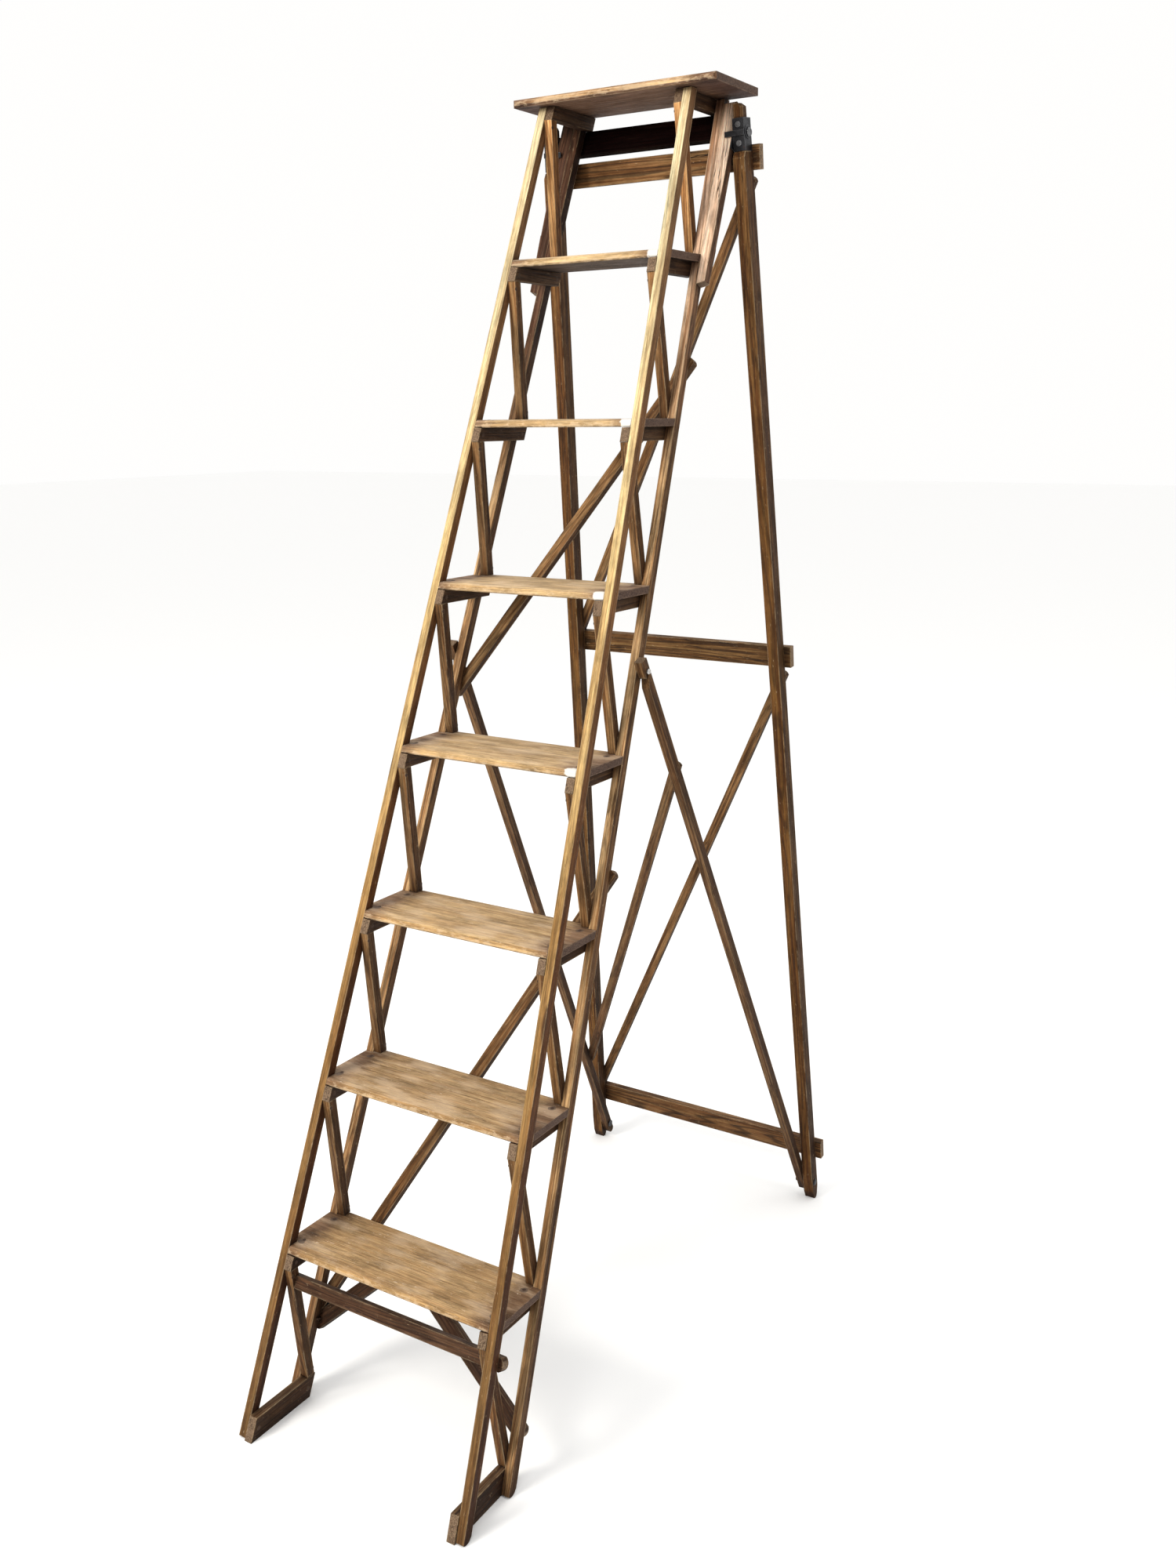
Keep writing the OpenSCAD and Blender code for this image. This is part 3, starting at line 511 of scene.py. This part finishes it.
TREAD_HEIGHTS = (
    (0.25, (0.80, 0.74, 0.66)), (0.55, (0.84, 0.80, 0.76)), (0.8, (1.0, 0.98, 0.94)),
    (1.4, (1.04, 1.08, 1.14)),
)
TREAD_LOOK = {
    "heights": TREAD_HEIGHTS, "streaky": 0.34, "lines": 0.2, "wear": 1.0, "knotty": 0.0, "cracked": 0.4,
}
BOARD = palette((0.080, 0.043, 0.020), (0.40, 0.26, 0.13), (0.44, 0.30, 0.17), (0.140, 0.085, 0.055))
BOARD_LOOK = {"streaky": 0.9, "lines": 0.6, "wear": 1.0, "knotty": 0.0}

# ---- Which node gets what ----

FIRST_TREAD_SEED = 60
PLATFORM_SEED = 70
FIRST_PAINTED_TREAD = 4


def numbered(stem, count):
    return [f"{stem}_{i}" for i in range(1, count + 1)]


def pair(stem):
    return [f"{stem}_left", f"{stem}_right"]


def plain_boards():
    """Every board but the treads and platform, with its grain direction, palette and look."""
    rows = []
    for name in pair("front_stile"):
        rows.append((name, up_stile(name), HONEY, HONEY_LOOK))
    rows.append(("rear_stile_left", up_stile("rear_stile_left"), BROWN, {"heights": BROWN_SHADED_LEFT_HEIGHTS}))
    rows.append(("rear_stile_right", up_stile("rear_stile_right"), BROWN, {"heights": BROWN_LIT_RIGHT_HEIGHTS}))
    rows.append(("cheek_left", up_stile("cheek_left"), SHADED_CHEEK, {"wear": 0.2}))
    rows.append(("cheek_right", up_stile("cheek_right"), LIT_CHEEK, {"streaky": 0.6, "cracked": 1.0}))
    for name in numbered("bearers", 8):
        rows.append((name, FORE_AFT, DARK, {"wear": 0.4}))
    for name in numbered("lattice", 8):
        rows.append((name, LATTICE, LATH, {"heights": LATH_HEIGHTS}))
    for name in pair("foot_bar"):
        rows.append((name, FORE_AFT, LATH, {"wear": 0.7}))
    rows.append(("front_cross_rail", ACROSS, DARK, {"wear": 0.5}))
    rows.append(("top_back_rail", ACROSS, DARK_STAIN_AND_SHADOW, DARK_STAIN_AND_SHADOW_LOOK))
    for name in pair("knee_brace"):
        rows.append((name, up_tie(name, -side_of(name), 1), DARK, {"wear": 0.4}))
    for name in ("back_diagonal_lower", "back_diagonal_upper"):
        rows.append((name, up_tie(name, 1, 1), LATH, {}))
    for name in pair("prop_leg"):
        rows.append((name, up_leg(name), LEG, {"heights": LEG_HEIGHTS}))
    for name in ("prop_rail_top", "prop_rail_middle", "prop_rail_bottom"):
        rows.append((name, ACROSS, RAIL, RAIL_LOOK))
    for name in ("prop_diagonal_upper", "prop_diagonal_lower"):
        rows.append((name, up_tie(name, 1, -1), LATH, {"wear": 0.3}))
    for name in pair("stay_strut"):
        rows.append((name, up_strut(name), LATH, {"wear": 0.3}))
    rows.append(("stay_cross_brace", up_tie("stay_cross_brace", 1, -1), LATH, {"wear": 0.3}))
    return rows


def dress(name, material):
    """Gives a node its one material."""
    mesh = NODES[name].data
    mesh.materials.clear()
    mesh.materials.append(material)


def dress_wood():
    for seed, (name, along, colours, look) in enumerate(plain_boards(), start=1):
        dress(name, wood(name, along, seed, colours, look))
    for i, name in enumerate(numbered("tread", 7)):
        painted = i + 1 >= FIRST_PAINTED_TREAD
        dress(name, trodden_wood(name, FIRST_TREAD_SEED + i, TREAD, TREAD_LOOK, painted))
    dress("platform", trodden_wood("platform", PLATFORM_SEED, BOARD, BOARD_LOOK, painted=False))


def dress_metal():
    black_iron = iron("black_iron", (0.006, 0.006, 0.007), (0.022, 0.022, 0.025), (0.20, 0.20, 0.21))
    for name in ("cheek_plates", "leg_straps", "stay_pivots"):
        dress(name, black_iron)
    worn_iron = iron("worn_iron", (0.05, 0.05, 0.05), (0.12, 0.12, 0.125), (0.42, 0.42, 0.42))
    for name in ("strap_screws", "hinge_pins"):
        dress(name, worn_iron)
    nail = rusty_nail("rusty_nail")
    for name in ("tread_nails", "side_nails", "back_nails", "prop_nails", "stay_nails"):
        dress(name, nail)
    dress("catch_pins", bright_steel("bright_steel"))


# ---- Floor, light and camera ----

FLOOR_SIZE = 60.0
EYE = (1.258, -1.862, 1.509)
YAW = math.radians(-32.4)
PITCH_DOWN = math.radians(14.35)
ROLL = math.radians(-0.56)
LENS = 33.11
SENSOR_WIDTH = 36.0


def studio():
    """A wide pale floor, and a pale sky of nearly the same colour."""
    bpy.ops.mesh.primitive_plane_add(size=FLOOR_SIZE)
    floor = bpy.context.object
    floor.name = "floor"
    paint = bpy.data.materials.new("floor_paint")
    paint.use_nodes = True
    shader = paint.node_tree.nodes["Principled BSDF"]
    shader.inputs["Base Color"].default_value = (0.97, 0.97, 0.965, 1.0)
    shader.inputs["Roughness"].default_value = 0.9
    floor.data.materials.append(paint)
    world = bpy.data.worlds.new("studio")
    world.use_nodes = True
    background = world.node_tree.nodes["Background"]
    background.inputs["Color"].default_value = (1.0, 0.995, 0.985, 1.0)
    background.inputs["Strength"].default_value = 1.0
    bpy.context.scene.world = world


def lamp(name, at, target, size, power, colour=(1.0, 1.0, 1.0)):
    """A round soft light that looks at its target."""
    light = bpy.data.lights.new(name, "AREA")
    light.shape = "DISK"
    light.size = size
    light.energy = power
    light.color = colour
    holder = bpy.data.objects.new(name, light)
    bpy.context.scene.collection.objects.link(holder)
    holder.location = at
    holder.rotation_euler = (Vector(target) - Vector(at)).to_track_quat("-Z", "Y").to_euler()


def camera():
    """The camera stands in front and to the right, at eye height, and looks a little down."""
    forward = Vector((
        math.sin(YAW) * math.cos(PITCH_DOWN), math.cos(YAW) * math.cos(PITCH_DOWN), -math.sin(PITCH_DOWN),
    ))
    level = Vector((math.cos(YAW), -math.sin(YAW), 0.0))
    upright = level.cross(forward)
    right = math.cos(ROLL) * level + math.sin(ROLL) * upright
    up = right.cross(forward)
    axes = Matrix((right, up, -forward)).transposed()
    data = bpy.data.cameras.new("camera")
    data.sensor_width = SENSOR_WIDTH
    data.lens = LENS
    holder = bpy.data.objects.new("camera", data)
    holder.matrix_world = Matrix.Translation(EYE) @ axes.to_4x4()
    bpy.context.scene.collection.objects.link(holder)
    bpy.context.scene.camera = holder


dress_wood()
dress_metal()
studio()
lamp("key", at=(-1.3, -3.4, 3.4), target=(0.0, 0.0, 1.3), size=1.6, power=130.0, colour=(1.0, 0.96, 0.90))
lamp("top", at=(0.3, 0.2, 4.2), target=(0.0, 0.0, 1.0), size=2.0, power=30.0)
camera()
bpy.context.scene.view_settings.view_transform = "Standard"
